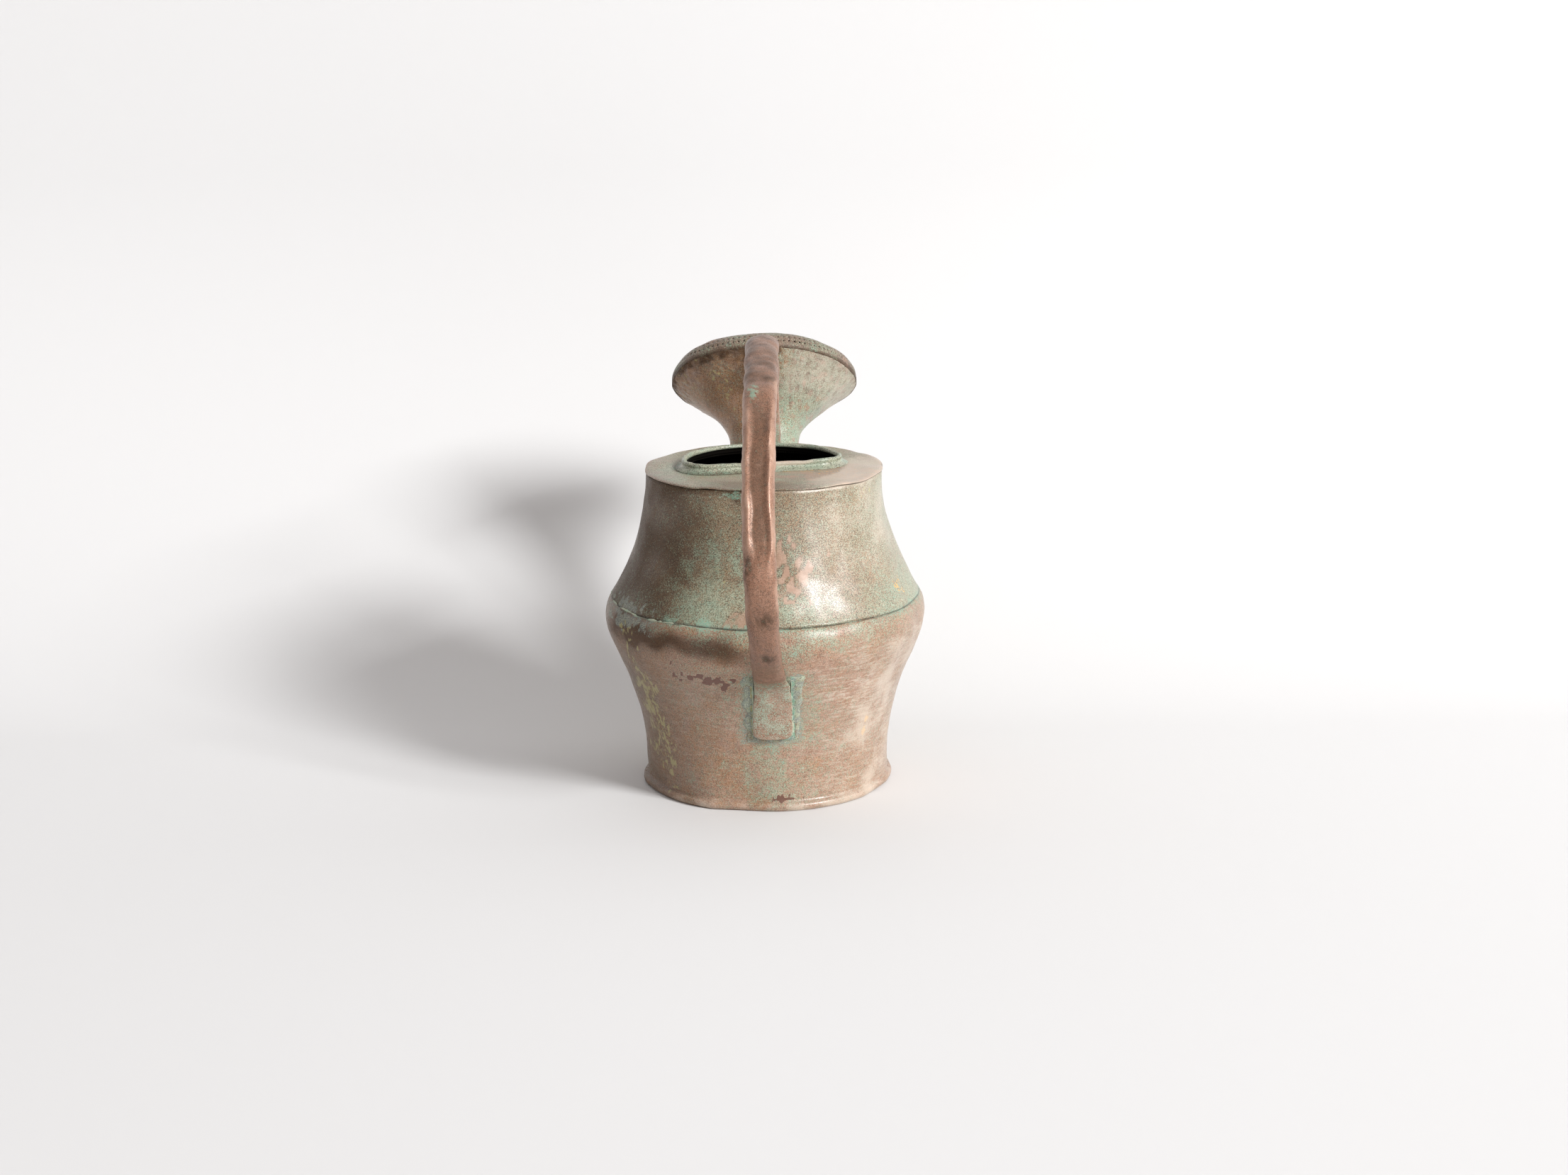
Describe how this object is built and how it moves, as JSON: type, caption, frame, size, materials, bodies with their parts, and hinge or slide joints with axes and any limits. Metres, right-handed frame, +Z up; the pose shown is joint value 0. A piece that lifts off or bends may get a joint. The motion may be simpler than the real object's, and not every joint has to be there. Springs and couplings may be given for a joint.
{
  "type": "watering can",
  "caption": "Old copper watering can with a waisted body, off-round filler mouth, hoop handle and a wide trumpet rose, for holding and sprinkling water.",
  "frame": {"origin": "centre of the foot's resting plane, on the body's axis", "axes": "+Z up along the body's axis, +Y towards the spout and rose, +X to the right seen from behind the handle"},
  "size_m": [0.2528, 0.5181, 0.356],
  "materials": {
    "lower_shell": "copper sheet dulled to brown with fine grey-green verdigris speckle, scratches and flaked red-brown patches",
    "upper_shell": "copper sheet with an even olive and grey-green verdigris speckle, rubbed to bare copper at the right",
    "base": "dark tarnished copper sheet",
    "wire": "rusted iron wire",
    "shoulder": "brown tarnished copper with verdigris in its corners",
    "collar": "green speckled patina, worn bright on the front of the rim",
    "handle": "smooth brown copper with bright worn ridges and spots of verdigris",
    "patch": "teal verdigris over copper",
    "spout": "green-grey patina over copper",
    "trumpet": "grey-green patina with orange-brown streaks and scratches",
    "rose": "brown copper with verdigris round the holes"
  },
  "bodies": {
    "root": {"lower_shell": "lower_shell", "upper_shell": "upper_shell", "base_disc": "base", "foot_wire": "wire", "shoulder_plate": "shoulder", "filler_collar": "collar", "rim_wire": "wire", "handle_tube": "handle", "handle_patch": "patch", "spout_tube": "spout", "rose_trumpet": "trumpet", "rose_face": "rose"}
  },
  "joints": []
}
